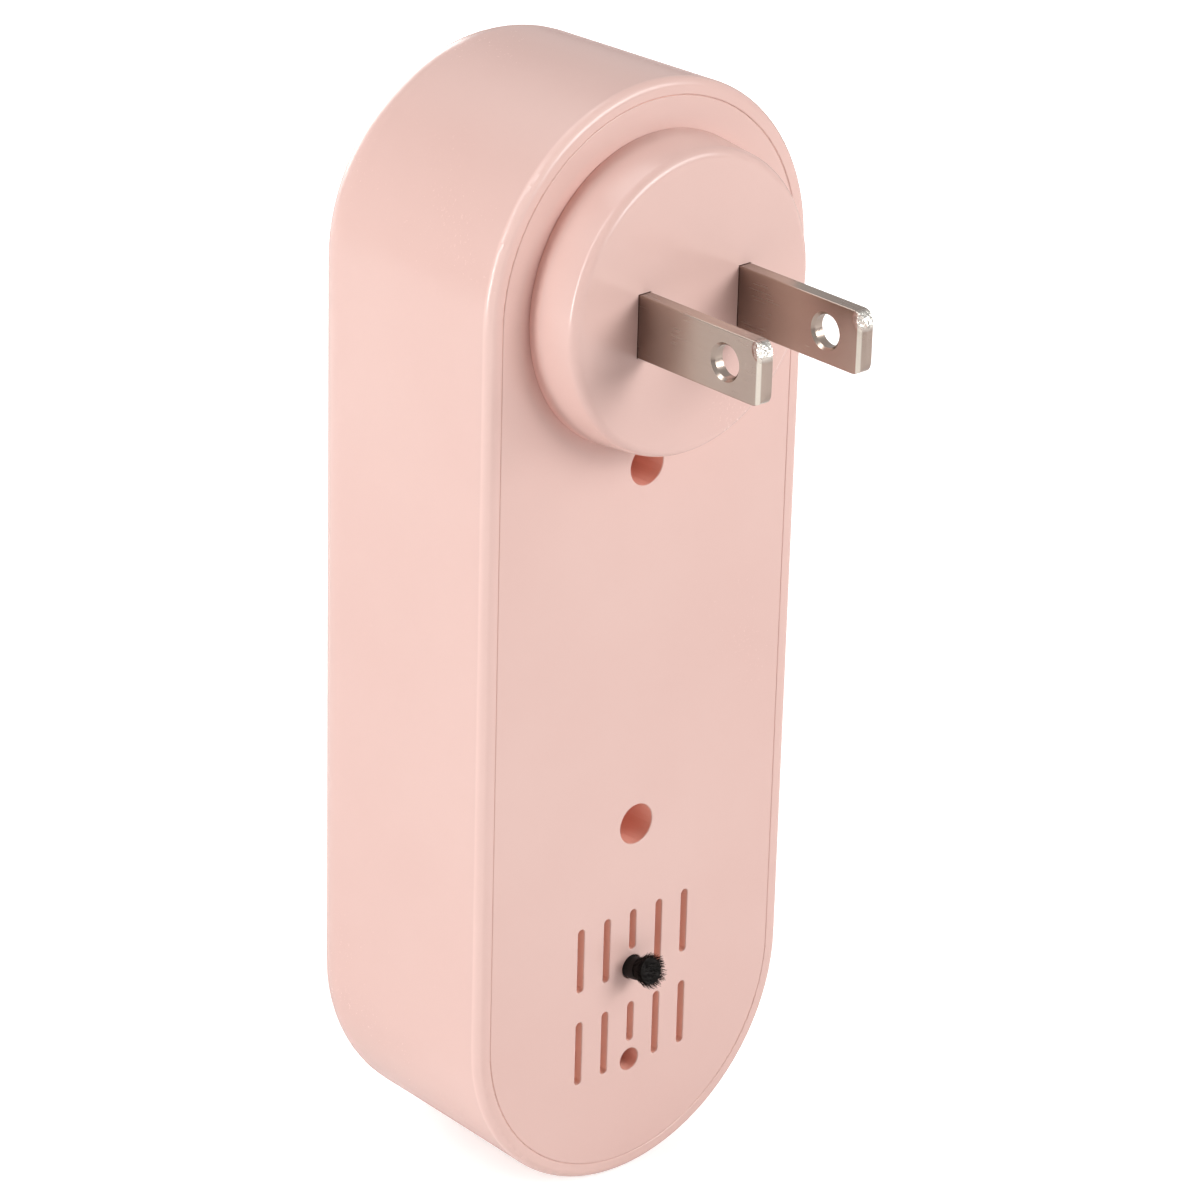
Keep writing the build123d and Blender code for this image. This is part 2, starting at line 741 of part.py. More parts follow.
os.makedirs("parts", exist_ok=True)
make_front_shell()
make_rear_cover()
make_plug_carrier()
make_plug_clamp()
make_blade("blade_left", 1)
make_blade("blade_right", -1)
make_fasteners()
make_transducer()
make_circuit_board()
make_board_parts()
make_indicator()
make_ionizer()
make_brush()
make_wiring()
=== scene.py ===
import math
import random

import bmesh
import bpy
from mathutils import Matrix, Vector


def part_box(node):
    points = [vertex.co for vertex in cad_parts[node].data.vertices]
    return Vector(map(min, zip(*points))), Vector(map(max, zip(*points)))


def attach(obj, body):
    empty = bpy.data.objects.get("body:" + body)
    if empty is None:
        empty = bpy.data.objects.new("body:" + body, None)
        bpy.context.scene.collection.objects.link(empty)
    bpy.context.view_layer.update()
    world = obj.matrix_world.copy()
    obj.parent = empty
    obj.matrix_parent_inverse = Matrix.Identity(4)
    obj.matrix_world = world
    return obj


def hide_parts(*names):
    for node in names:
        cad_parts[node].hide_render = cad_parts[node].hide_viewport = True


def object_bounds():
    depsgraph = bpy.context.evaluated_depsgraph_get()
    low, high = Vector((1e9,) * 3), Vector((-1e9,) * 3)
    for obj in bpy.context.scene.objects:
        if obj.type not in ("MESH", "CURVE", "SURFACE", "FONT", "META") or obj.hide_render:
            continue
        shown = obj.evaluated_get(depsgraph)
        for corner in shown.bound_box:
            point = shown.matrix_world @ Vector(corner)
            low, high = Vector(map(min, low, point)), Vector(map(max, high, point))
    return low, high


# Plug-in ultrasonic pest repeller. Metres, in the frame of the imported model: +Z is up, +Y points at the wall,
# and the origin is the centre of the plug boss's rear face.

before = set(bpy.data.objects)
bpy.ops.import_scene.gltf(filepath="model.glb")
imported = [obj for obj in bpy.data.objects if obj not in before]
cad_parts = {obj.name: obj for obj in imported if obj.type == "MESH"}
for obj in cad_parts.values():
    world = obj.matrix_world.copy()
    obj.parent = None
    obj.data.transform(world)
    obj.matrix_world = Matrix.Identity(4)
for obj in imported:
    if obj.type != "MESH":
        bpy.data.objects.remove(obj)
cad_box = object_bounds()

MM = 0.001
MERGE_DISTANCE = 0.0005 * MM
SHARP_ANGLE = math.radians(20)
QUARTER_TURN = math.radians(90)
FLOAT, COLOUR, VECTOR = "NodeSocketFloat", "NodeSocketColor", "NodeSocketVector"


# ---------------------------------------------------------------- meshes

def new_object(name, bm):
    mesh = bpy.data.meshes.new(name)
    bm.to_mesh(mesh)
    bm.free()
    piece = bpy.data.objects.new(name, mesh)
    bpy.context.scene.collection.objects.link(piece)
    return piece


def merged_mesh(node):
    """A CAD node's triangles, joined at their shared corners."""
    bm = bmesh.new()
    bm.from_mesh(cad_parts[node].data)
    bmesh.ops.remove_doubles(bm, verts=bm.verts, dist=MERGE_DISTANCE)
    bmesh.ops.dissolve_degenerate(bm, edges=bm.edges, dist=MERGE_DISTANCE)
    return bm


def cut_across(bm, place, normal):
    """New edges where a plane crosses the mesh."""
    bmesh.ops.bisect_plane(bm, geom=bm.verts[:] + bm.edges[:] + bm.faces[:], plane_co=place, plane_no=normal)


def shade(piece):
    """Smooth shading with crisp edges, and flat faces that stay flat."""
    if "custom_normal" in piece.data.attributes:
        piece.data.attributes.remove(piece.data.attributes["custom_normal"])
    piece.data.shade_smooth()
    piece.data.set_sharp_from_angle(angle=SHARP_ANGLE)
    normals = piece.modifiers.new("even_normals", "WEIGHTED_NORMAL")
    normals.mode = "FACE_AREA_WITH_ANGLE"
    normals.keep_sharp = True


def add_piece(name, bm, material, node):
    """A finished piece that stands for its CAD node and rides on the one body."""
    piece = new_object(name, bm)
    shade(piece)
    piece.data.materials.clear()
    piece.data.materials.append(material)
    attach(piece, "root")
    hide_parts(node)


def smooth_piece(name, node, material):
    """The CAD node's own shape with joined corners and smooth shading."""
    add_piece(name, merged_mesh(node), material, node)


def finish_nodes(material, *nodes):
    """CAD nodes whose shape is kept get a finish of their own."""
    for node in nodes:
        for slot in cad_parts[node].material_slots:
            slot.material = material


# ---------------------------------------------------------------- shader building

def new_material(name):
    material = bpy.data.materials.new(name)
    material.use_nodes = True
    return material, material.node_tree, material.node_tree.nodes["Principled BSDF"]


def put(tree, kind, values=None, **settings):
    """A node with its settings, and the values of its input sockets."""
    node = tree.nodes.new(kind)
    for key, value in settings.items():
        setattr(node, key, value)
    for key, value in (values or {}).items():
        node.inputs[key].default_value = value
    return node


def join(tree, source, output, target, socket):
    tree.links.new(source.outputs[output], target.inputs[socket])


def new_group(name, inputs, outputs):
    """A shader node group with named inputs, each with its default, and named outputs."""
    tree = bpy.data.node_groups.new(name, "ShaderNodeTree")
    for socket, default in inputs.items():
        kind = FLOAT if isinstance(default, float) else (VECTOR if len(default) == 3 else COLOUR)
        tree.interface.new_socket(socket, in_out="INPUT", socket_type=kind).default_value = default
    for socket, kind in outputs.items():
        tree.interface.new_socket(socket, in_out="OUTPUT", socket_type=kind)
    return tree, put(tree, "NodeGroupInput"), put(tree, "NodeGroupOutput")


def object_place(tree):
    """Output socket with the object coordinates."""
    return put(tree, "ShaderNodeTexCoord").outputs["Object"]


def noise(tree, place, scale, detail, roughness=0.5):
    """Noise on object coordinates, with its scale in repeats per metre."""
    node = put(tree, "ShaderNodeTexNoise", {"Scale": scale, "Detail": detail, "Roughness": roughness})
    tree.links.new(place, node.inputs["Vector"])
    return node


def stretch(tree, source, low, high, to_low=0.0, to_high=1.0):
    """A value moved from one range to another and held at its ends."""
    node = put(tree, "ShaderNodeMapRange", {"From Min": low, "From Max": high,
                                            "To Min": to_low, "To Max": to_high})
    tree.links.new(source, node.inputs["Value"])
    return node.outputs["Result"]


def blend_colours(tree, factor, first, second):
    """Mix of two colours; each is a colour or an output socket."""
    node = put(tree, "ShaderNodeMix", data_type="RGBA")
    tree.links.new(factor, node.inputs["Factor"])
    for socket, colour in ((node.inputs[6], first), (node.inputs[7], second)):
        if isinstance(colour, tuple):
            socket.default_value = (*colour, 1)
        else:
            tree.links.new(colour, socket)
    return node.outputs[2]


def calculate(tree, operation, first, second=0.0):
    """Math node on numbers or output sockets."""
    node = put(tree, "ShaderNodeMath", operation=operation)
    for socket, value in zip(node.inputs, (first, second)):
        if isinstance(value, (int, float)):
            socket.default_value = value
        else:
            tree.links.new(value, socket)
    return node.outputs[0]


def both(tree, first, second):
    """A mask that is 1 where two others are."""
    return calculate(tree, "MULTIPLY", first, second)


def band(tree, value, low, high, softness):
    """A mask that is 1 while a value lies between two limits, with soft ends."""
    rising = stretch(tree, value, low - softness, low + softness)
    falling = stretch(tree, value, high - softness, high + softness, 1.0, 0.0)
    return both(tree, rising, falling)


def axis_value(material, axis, centre=(0, 0, 0)):
    """One object coordinate, measured from a point given in metres."""
    tree = material.node_tree
    centred = put(tree, "ShaderNodeMapping", {"Location": tuple(-value for value in centre)})
    split = put(tree, "ShaderNodeSeparateXYZ")
    tree.links.new(object_place(tree), centred.inputs["Vector"])
    join(tree, centred, "Vector", split, "Vector")
    return split.outputs[axis]


def tint_where(material, mask, colour):
    """Change a material's colour to another where a mask in its tree is 1."""
    tree = material.node_tree
    base = tree.nodes["Principled BSDF"].inputs["Base Color"]
    painted = blend_colours(tree, mask, base.links[0].from_socket, colour)
    tree.links.new(painted, base)


# ---------------------------------------------------------------- shared surfaces

def mix_gloss(tree, given, first, second):
    """Roughness that wanders between the group's two limits with the sum of two noises."""
    wander = calculate(tree, "ADD", first.outputs["Fac"], second.outputs["Fac"])
    gloss = stretch(tree, wander, 0.7, 1.3)
    join(tree, given, "Gloss Low", gloss.node, "To Min")
    join(tree, given, "Gloss High", gloss.node, "To Max")
    return gloss


def make_moulding_group():
    """Moulded surface: slow drifts of tone, long ripples left by the mould, and a fine grain."""
    tree, given, out = new_group("moulded_surface", {
        "Colour": (0.8, 0.8, 0.8, 1), "Drift Colour": (0.7, 0.7, 0.7, 1), "Drift Scale": 40.0,
        "Grain Scale": 3500.0, "Ripple": 0.5, "Gloss Low": 0.3, "Gloss High": 0.4,
    }, {"Colour": COLOUR, "Roughness": FLOAT, "Height": FLOAT})
    place = object_place(tree)
    drift = noise(tree, place, 40.0, 3.0)
    grain = noise(tree, place, 3500.0, 3.0, 0.6)
    ripple = noise(tree, place, 420.0, 1.0)
    join(tree, given, "Drift Scale", drift, "Scale")
    join(tree, given, "Grain Scale", grain, "Scale")
    tone = stretch(tree, drift.outputs["Fac"], 0.32, 0.68)
    colour = blend_colours(tree, tone, given.outputs["Colour"], given.outputs["Drift Colour"])
    rise = calculate(tree, "MULTIPLY", ripple.outputs["Fac"], given.outputs["Ripple"])
    height = calculate(tree, "ADD", grain.outputs["Fac"], rise)
    tree.links.new(colour, out.inputs["Colour"])
    tree.links.new(mix_gloss(tree, given, drift, grain), out.inputs["Roughness"])
    tree.links.new(height, out.inputs["Height"])
    return tree


def make_brushing_group():
    """Brushed metal: streaks whose length lies along one axis, and cloudy tarnish."""
    tree, given, out = new_group("brushed_surface", {
        "Colour": (0.6, 0.6, 0.6, 1), "Streak Colour": (0.5, 0.5, 0.5, 1),
        "Tarnish Colour": (0.3, 0.3, 0.3, 1), "Streaks Per Metre": (4000.0, 80.0, 4000.0),
        "Tarnish Scale": 150.0, "Gloss Low": 0.2, "Gloss High": 0.4,
    }, {"Colour": COLOUR, "Roughness": FLOAT, "Height": FLOAT})
    place = object_place(tree)
    drawn_out = put(tree, "ShaderNodeVectorMath", operation="MULTIPLY")
    tree.links.new(place, drawn_out.inputs[0])
    join(tree, given, "Streaks Per Metre", drawn_out, 1)
    streaks = noise(tree, drawn_out.outputs["Vector"], 1.0, 3.0, 0.6)
    clouds = noise(tree, place, 150.0, 4.0, 0.6)
    join(tree, given, "Tarnish Scale", clouds, "Scale")
    streak = stretch(tree, streaks.outputs["Fac"], 0.35, 0.65)
    cloud = stretch(tree, clouds.outputs["Fac"], 0.5, 0.75)
    bright = blend_colours(tree, streak, given.outputs["Colour"], given.outputs["Streak Colour"])
    colour = blend_colours(tree, cloud, bright, given.outputs["Tarnish Colour"])
    tree.links.new(colour, out.inputs["Colour"])
    tree.links.new(mix_gloss(tree, given, streaks, clouds), out.inputs["Roughness"])
    join(tree, streaks, "Fac", out, "Height")
    return tree


MOULDING = make_moulding_group()
BRUSHING = make_brushing_group()


def surfaced(name, group, values, relief):
    """Material whose colour, roughness and bump come from a group; relief is the bump's height in mm."""
    material, tree, bsdf = new_material(name)
    surface = put(tree, "ShaderNodeGroup", node_tree=group)
    for key, value in values.items():
        surface.inputs[key].default_value = value
    bump = put(tree, "ShaderNodeBump", {"Strength": 1.0, "Distance": relief * MM})
    join(tree, surface, "Colour", bsdf, "Base Color")
    join(tree, surface, "Roughness", bsdf, "Roughness")
    join(tree, surface, "Height", bump, "Height")
    join(tree, bump, "Normal", bsdf, "Normal")
    return material


def moulded(name, colour, drift_colour, gloss, grain=3500.0, relief=0.002, ripple=0.5, drift=40.0,
            shader=None):
    """Material of a moulded, cast or coated surface; grain and drift are in repeats per metre."""
    material = surfaced(name, MOULDING, {
        "Colour": (*colour, 1), "Drift Colour": (*drift_colour, 1), "Drift Scale": drift,
        "Grain Scale": grain, "Ripple": ripple, "Gloss Low": gloss[0], "Gloss High": gloss[1]}, relief)
    for socket, value in (shader or {}).items():
        material.node_tree.nodes["Principled BSDF"].inputs[socket].default_value = value
    return material


def brushed(name, colour, streak_colour, tarnish_colour, gloss, streaks, relief, tarnish=150.0):
    """Material of bare metal; streaks is their number per metre along X, Y and Z."""
    material = surfaced(name, BRUSHING, {
        "Colour": (*colour, 1), "Streak Colour": (*streak_colour, 1),
        "Tarnish Colour": (*tarnish_colour, 1), "Streaks Per Metre": streaks, "Tarnish Scale": tarnish,
        "Gloss Low": gloss[0], "Gloss High": gloss[1]}, relief)
    material.node_tree.nodes["Principled BSDF"].inputs["Metallic"].default_value = 1.0
    return material


# ---------------------------------------------------------------- camera, lights and stage

CAMERA_AZIMUTH = math.radians(137.239)
CAMERA_ELEVATION = math.radians(23.784)
CAMERA_ROLL = math.radians(1.55)
CAMERA_TARGET = Vector((0, -12.0, -35.55)) * MM
CAMERA_OFFSET = Vector((0.152, 1.378, 479.137)) * MM
SENSOR_WIDTH = 36
FOCAL_LENGTH = 147.676

LAMP_TARGET = Vector((0, -15, -37)) * MM
LAMP_COLOUR = (0.97, 1.0, 1.0)

BACKDROP_STRENGTH = 0.9
GLEAM_STRENGTH = 0.4
FILL_STRENGTH = 0.17
FILL_COLOUR = (1.0, 0.62, 0.56)
WHITE = (1.0, 1.0, 1.0)

FLOOR_REACH = 8
FLOOR_GAP = 0.2 * MM
GLOW_START = 0.1
GLOW_END = 0.8


def make_camera():
    """Camera above and behind the device, looking down at its cover from the side."""
    level_right = Vector((math.cos(CAMERA_AZIMUTH), math.sin(CAMERA_AZIMUTH), 0))
    back = Vector((math.sin(CAMERA_AZIMUTH) * math.cos(CAMERA_ELEVATION),
                   -math.cos(CAMERA_AZIMUTH) * math.cos(CAMERA_ELEVATION), math.sin(CAMERA_ELEVATION)))
    level_up = back.cross(level_right)
    right = level_right * math.cos(CAMERA_ROLL) + level_up * math.sin(CAMERA_ROLL)
    up = level_up * math.cos(CAMERA_ROLL) - level_right * math.sin(CAMERA_ROLL)
    turn = Matrix((right, up, back)).transposed()
    camera = bpy.data.objects.new("camera", bpy.data.cameras.new("camera"))
    bpy.context.scene.collection.objects.link(camera)
    camera.matrix_world = Matrix.Translation(CAMERA_TARGET + turn @ CAMERA_OFFSET) @ turn.to_4x4()
    camera.data.sensor_width = SENSOR_WIDTH
    camera.data.lens = FOCAL_LENGTH
    camera.data.clip_start = 0.01
    camera.data.clip_end = 50
    bpy.context.scene.camera = camera


def add_softbox(name, direction, distance, size, power):
    """Rectangular lamp that faces the middle of the device from a direction."""
    towards = Vector(direction).normalized()
    lamp = bpy.data.lights.new(name, "AREA")
    lamp.shape = "RECTANGLE"
    lamp.size, lamp.size_y = size
    lamp.energy = power
    lamp.color = LAMP_COLOUR
    holder = bpy.data.objects.new(name, lamp)
    bpy.context.scene.collection.objects.link(holder)
    turn = towards.to_track_quat("Z", "Y").to_matrix().to_4x4()
    holder.matrix_world = Matrix.Translation(LAMP_TARGET + towards * distance) @ turn


def make_lights():
    """Three lamps face the cover, three stand at +X, one hangs above and one faces the front."""
    add_softbox("key_softbox", (-0.3, 0.9, 0.3), 0.9, (0.35, 0.35), 3.8)
    add_softbox("right_softbox", (-0.575, 0.712, 0.4), 0.9, (0.35, 0.35), 1.95)
    add_softbox("upper_softbox", (-0.4, 0.7, 0.6), 0.9, (0.5, 0.5), 1.05)
    add_softbox("side_strip", (1.0, -0.2, 0.2), 0.8, (0.12, 0.6), 3.8)
    add_softbox("low_side_strip", (1.0, -0.28, -0.2), 0.8, (0.12, 0.4), 3.7)
    add_softbox("side_top_softbox", (0.8, -0.28, 1.0), 0.8, (0.3, 0.4), 1.65)
    add_softbox("top_softbox", (0.0, -0.5, 1.0), 0.9, (0.5, 0.5), 1.85)
    add_softbox("front_softbox", (-0.3, -1.0, 0.2), 1.0, (0.5, 0.5), 4.0)


def make_world():
    """White surround: bright behind the device and in its gloss, and a weak warm fill on it."""
    world = bpy.data.worlds.new("studio")
    bpy.context.scene.world = world
    world.use_nodes = True
    tree = world.node_tree
    rays = put(tree, "ShaderNodeLightPath").outputs
    backdrop = calculate(tree, "MULTIPLY", rays["Is Camera Ray"], BACKDROP_STRENGTH)
    gleam = calculate(tree, "MULTIPLY", rays["Is Glossy Ray"], GLEAM_STRENGTH)
    strength = calculate(tree, "ADD", calculate(tree, "ADD", backdrop, gleam), FILL_STRENGTH)
    white_seen = calculate(tree, "MAXIMUM", rays["Is Camera Ray"], rays["Is Glossy Ray"])
    tint = blend_colours(tree, white_seen, FILL_COLOUR, WHITE)
    tree.links.new(strength, tree.nodes["Background"].inputs["Strength"])
    tree.links.new(tint, tree.nodes["Background"].inputs["Color"])
    bpy.context.scene.view_settings.view_transform = "Standard"


def floor_paint():
    """Matt white floor that brightens to the surround away from the device, for the camera only."""
    material, tree, bsdf = new_material("floor_paint")
    bsdf.inputs["Base Color"].default_value = (0.9, 0.9, 0.9, 1)
    bsdf.inputs["Roughness"].default_value = 0.9
    bsdf.inputs["Emission Color"].default_value = (*WHITE, 1)
    distance = put(tree, "ShaderNodeVectorMath", operation="LENGTH")
    tree.links.new(object_place(tree), distance.inputs["Vector"])
    glow = stretch(tree, distance.outputs["Value"], GLOW_START, GLOW_END, 0.5, 1.0)
    seen = calculate(tree, "MULTIPLY", glow, put(tree, "ShaderNodeLightPath").outputs["Is Camera Ray"])
    tree.links.new(seen, bsdf.inputs["Emission Strength"])
    return material


def make_floor():
    """Floor just under the device, far wider than the camera sees."""
    bm = bmesh.new()
    bmesh.ops.create_grid(bm, x_segments=2, y_segments=2, size=FLOOR_REACH)
    bmesh.ops.translate(bm, verts=bm.verts, vec=(0, 0, cad_box[0].z - FLOOR_GAP))
    floor = new_object("studio_floor", bm)
    floor.data.materials.append(floor_paint())


# ---------------------------------------------------------------- case

# Painted light: glow painted into slots, seam, bores and the boss's foot, and a highlight painted on the case's
# lip.
PAINTED_SLOT_GLOW = (0.94, 0.58, 0.48)
PAINTED_BORE_GLOW = (0.96, 0.525, 0.43)
PAINTED_FOOT_GLOW = (0.93, 0.54, 0.47)
PAINTED_LIP_HIGHLIGHT = (0.76, 0.535, 0.485)

LIP_SPAN = (-0.95 * MM, -0.06 * MM)
SLOTTED_SPAN = (-6.1 * MM, 10.0 * MM)
SPAN_FADE = 0.1 * MM
INSIDE_DEPTHS = (-0.04 * MM, -0.16 * MM)
MIDDLE_EDGE = (2.6 * MM, 2.2 * MM)
CORNER_REACH = (2.2 * MM, 0.5 * MM)

SEAM_DEPTH = 0.15 * MM
SNUG_FIT = 0.085 * MM
TIGHT_FIT = 0.095 * MM
RIM_WIDTH = 0.2 * MM
RIM_DEPTH = 2.5 * MM


def pink_plastic(name):
    return moulded(name, (0.702, 0.485, 0.438), (0.682, 0.46, 0.414), gloss=(0.235, 0.275), relief=0.0002)


def towards_strips(material, start, end, low, high):
    """A mask that grows from low to high between two X places in mm, towards the strip lamps."""
    return stretch(material.node_tree, axis_value(material, "X"), start * MM, end * MM, low, high)


def pink_shell_plastic():
    """The case's pink plastic, with a painted highlight on the thin rounded lip round the cover."""
    material = pink_plastic("pink_shell_plastic")
    tree = material.node_tree
    from_lip = axis_value(material, "Y", (0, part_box("front_shell")[1].y, 0))
    lip = band(tree, from_lip, *LIP_SPAN, SPAN_FADE)
    # Painted highlight: the lip is painted paler, most on the side of the strip lamps.
    tint_where(material, both(tree, lip, towards_strips(material, -8.0, 12.0, 0.25, 1.0)), PAINTED_LIP_HIGHLIGHT)
    return material


def bore_mask(material, low_arc):
    """1 down the middle of the cover, where the round holes are, but 0 among the slots."""
    tree = material.node_tree
    across = calculate(tree, "ABSOLUTE", axis_value(material, "X"))
    middle = stretch(tree, across, *MIDDLE_EDGE)
    among_slots = band(tree, axis_value(material, "Z", (0, 0, low_arc)), *SLOTTED_SPAN, SPAN_FADE)
    return both(tree, middle, calculate(tree, "SUBTRACT", 1.0, among_slots))


def corner_mask(material):
    """1 next to the boss, fading out over the cover round it."""
    tree = material.node_tree
    away = put(tree, "ShaderNodeVectorMath", operation="LENGTH")
    tree.links.new(object_place(tree), away.inputs["Vector"])
    boss_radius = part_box("plug_carrier")[1].x
    return stretch(tree, away.outputs["Value"], boss_radius + CORNER_REACH[0], boss_radius + CORNER_REACH[1])


def pink_cover_plastic():
    """The case's pink plastic, with a painted glow in its slots, seam and bores, and round the boss."""
    material = pink_plastic("pink_cover_plastic")
    tree = material.node_tree
    low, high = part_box("rear_cover")
    inside = stretch(tree, axis_value(material, "Y", (0, high.y, 0)), *INSIDE_DEPTHS)
    # Painted glow: the insides of slots, seam and bores are painted lighter and redder, like light bounced
    # inside the pink plastic.
    tint_where(material, inside, PAINTED_SLOT_GLOW)
    # Painted glow, stronger still, inside the round bores.
    tint_where(material, both(tree, bore_mask(material, low.z + high.x), inside), PAINTED_BORE_GLOW)
    # Painted glow in the corner round the boss, strongest on the side of the strip lamps.
    corner = both(tree, corner_mask(material), towards_strips(material, 2.0, 10.0, 0.15, 0.55))
    tint_where(material, corner, PAINTED_FOOT_GLOW)
    return material


def pill_axis_point(place, low_arc):
    """Nearest point on the line between the centres of the case's two arcs."""
    return Vector((0, place.y, min(0, max(low_arc, place.z))))


def make_back_cover():
    """The cover, grown to fill most of its gap at the face and nearly all of the gap below."""
    low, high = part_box("rear_cover")
    low_arc = low.z + high.x
    bm = merged_mesh("rear_cover")
    cut_across(bm, (0, high.y - SEAM_DEPTH, 0), (0, 1, 0))
    for vert in bm.verts:
        outward = vert.co - pill_axis_point(vert.co, low_arc)
        if outward.length > high.x - RIM_WIDTH and vert.co.y > high.y - RIM_DEPTH:
            at_face = vert.co.y > high.y - SEAM_DEPTH / 2
            vert.co += outward.normalized() * (SNUG_FIT if at_face else TIGHT_FIT)
    add_piece("back_cover", bm, pink_cover_plastic(), "rear_cover")


def make_case(zinc):
    smooth_piece("case_shell", "front_shell", pink_shell_plastic())
    make_back_cover()
    smooth_piece("cover_fixing_screws", "cover_screws", zinc)


# ---------------------------------------------------------------- plug

FOOT_HEIGHTS = (1.4 * MM, 0.1 * MM)
BLADE_TOP = 2.6 * MM
BLADE_BEVEL = 0.9 * MM
COINED_DROP = 0.75 * MM


def pink_boss_plastic():
    """The case's pink plastic, with a painted glow in the corner at the boss's foot, on the side of the strip
    lamps.
    """
    material = pink_plastic("pink_boss_plastic")
    tree = material.node_tree
    above_cover = axis_value(material, "Y", (0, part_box("rear_cover")[1].y, 0))
    # Painted glow on the boss's foot, strongest on the side of the strip lamps.
    foot = stretch(tree, above_cover, *FOOT_HEIGHTS)
    tint_where(material, both(tree, foot, towards_strips(material, 2.0, 10.0, 0.15, 0.85)), PAINTED_FOOT_GLOW)
    return material


def blade_nickel():
    """Satin nickel drawn along the blade, with painted shade near the plug and further out, and a painted
    highlight on its bevel.
    """
    material = brushed("blade_nickel", (0.50, 0.42, 0.357), (0.485, 0.405, 0.344), (0.43, 0.35, 0.30),
                       gloss=(0.24, 0.28), streaks=(5200.0, 60.0, 5200.0), relief=0.00006)
    tree = material.node_tree
    along = axis_value(material, "Y")
    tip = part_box("blade_left")[1].y
    # Painted shade: darker near the plug, where the blade reflects the shade round its root, and again further
    # out.
    tint_where(material, stretch(tree, along, 8.0 * MM, 0.0, 0.0, 0.9), (0.26, 0.19, 0.16))
    tint_where(material, stretch(tree, along, 5.0 * MM, 12.0 * MM, 0.0, 0.5), (0.36, 0.27, 0.235))
    # Painted highlight: the bevel is painted paler.
    painted_bevel_highlight = band(tree, along, tip - BLADE_BEVEL, tip - BLADE_BEVEL / 2, 0.06 * MM)
    tint_where(material, painted_bevel_highlight, (0.70, 0.64, 0.56))
    add_coined_glint_corner(material, Vector((0, tip - BLADE_BEVEL / 2, BLADE_TOP - COINED_DROP)))
    return material


def add_coined_glint_corner(material, corner):
    """Uneven marks of the stamping tool round one corner of a blade, with a painted glint over them."""
    tree = material.node_tree
    bsdf = tree.nodes["Principled BSDF"]
    place = object_place(tree)
    flattened = put(tree, "ShaderNodeVectorMath", operation="MULTIPLY")
    flattened.inputs[1].default_value = (0, 1, 1)
    tree.links.new(place, flattened.inputs[0])
    away = put(tree, "ShaderNodeVectorMath", operation="DISTANCE")
    away.inputs[1].default_value = corner
    join(tree, flattened, "Vector", away, 0)
    coined_and_glint = stretch(tree, away.outputs["Value"], 1.15 * MM, 0.6 * MM)
    marks = noise(tree, place, 2300.0, 2.0)
    dents = put(tree, "ShaderNodeBump", {"Strength": 1.0, "Distance": 0.3 * MM})
    tree.links.new(calculate(tree, "MULTIPLY", marks.outputs["Fac"], coined_and_glint), dents.inputs["Height"])
    tree.links.new(bsdf.inputs["Normal"].links[0].from_socket, dents.inputs["Normal"])
    join(tree, dents, "Normal", bsdf, "Normal")
    # Painted glint: the marked corner is painted paler.
    tint_where(material, coined_and_glint, (0.8, 0.76, 0.7))


def make_plug(black, zinc):
    nickel = blade_nickel()
    smooth_piece("plug_boss", "plug_carrier", pink_boss_plastic())
    smooth_piece("plug_clamp_plate", "plug_clamp", black)
    smooth_piece("clamp_fixing_screws", "plug_clamp_screws", zinc)
    smooth_piece("plug_blade_left", "blade_left", nickel)
    smooth_piece("plug_blade_right", "blade_right", nickel)


# ---------------------------------------------------------------- carbon brush

TUFT_LEAN = Vector((0, 0.8, 0.22)).normalized()
TUFT_LENGTH = 2.0 * MM
TUFT_ROOT_RADIUS = 1.08 * MM
TUFT_TIP_RADIUS = 1.85 * MM
TUFT_SPREAD = 2.05 * MM
TUFT_EDGE_DROP = 0.1 * MM
FIBRE_COUNT = 850
FIBRE_RADIUS = 0.034 * MM
FIBRE_WANDER = 0.09 * MM
STRAY_SHARE = 0.01
STRAY_REACH = 0.25 * MM


def sleeve_black():
    return moulded("sleeve_black", (0.011, 0.0095, 0.009), (0.018, 0.015, 0.014), gloss=(0.55, 0.75),
                   grain=2600.0, relief=0.003, shader={"Specular IOR Level": 0.25})


def carbon_fibre():
    return moulded("carbon_fibre", (0.011, 0.009, 0.0085), (0.019, 0.016, 0.0145), gloss=(0.6, 0.8),
                   grain=6000.0, drift=1500.0, shader={"Specular IOR Level": 0.2})


def tuft_root():
    """Centre of the sleeve's mouth, worked back from the brush's box."""
    low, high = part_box("carbon_brush")
    tip = Vector((0, high.y - TUFT_TIP_RADIUS * TUFT_LEAN.z, low.z + TUFT_TIP_RADIUS * TUFT_LEAN.y))
    return tip - TUFT_LEAN * TUFT_LENGTH


def fibre_mesh():
    """Thin fibre along +Z, a unit long and a unit in radius at its root, cut across so that it can bend."""
    bm = bmesh.new()
    bmesh.ops.create_cone(bm, cap_ends=True, segments=3, radius1=1, radius2=0.45, depth=1)
    bmesh.ops.translate(bm, verts=bm.verts, vec=(0, 0, 0.5))
    for height in (0.25, 0.5, 0.75):
        cut_across(bm, (0, 0, height), (0, 0, 1))
    mesh = bpy.data.meshes.new("fibre")
    bm.to_mesh(mesh)
    bm.free()
    return mesh


